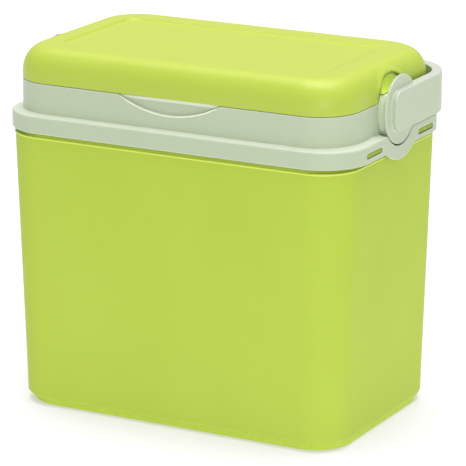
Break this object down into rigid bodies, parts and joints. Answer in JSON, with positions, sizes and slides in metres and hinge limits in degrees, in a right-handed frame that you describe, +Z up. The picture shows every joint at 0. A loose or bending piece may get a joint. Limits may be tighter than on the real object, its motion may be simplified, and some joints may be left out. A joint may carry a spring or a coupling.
{
  "type": "cool box",
  "caption": "Small passive cool box: tapered insulated tub with a flanged collar, a lift-off crowned lid and a bail carry handle that swings on end pivots.",
  "frame": {"origin": "middle of the flat underside of the foot, on the surface that the box stands on", "axes": "+Z up; +X along the long side; the scalloped front faces -Y, so the handle at rest lies along the back at +Y"},
  "size_m": [0.3088, 0.191, 0.2831],
  "materials": {
    "lime_plastic": "satin",
    "sage_plastic": "satin",
    "liner_plastic": "satin",
    "foam": "matte"
  },
  "bodies": {
    "tub": {"outer_shell": "lime_plastic", "body_insulation": "foam", "inner_liner": "liner_plastic", "collar": "sage_plastic"},
    "lid": {"lid_cover": "lime_plastic", "lid_insulation": "foam", "lid_inner_panel": "liner_plastic"},
    "handle": {"carry_handle": "sage_plastic"}
  },
  "joints": [
    {"name": "handle_swing", "type": "hinge", "parent": "tub", "child": "handle", "pos_m": [0, 0, 0.2497], "axis": [1, 0, 0], "range_deg": [0, 180]},
    {"name": "lid_lift", "type": "slide", "parent": "tub", "child": "lid", "axis": [0, 0, 1], "range_m": [0, 0.1]}
  ]
}
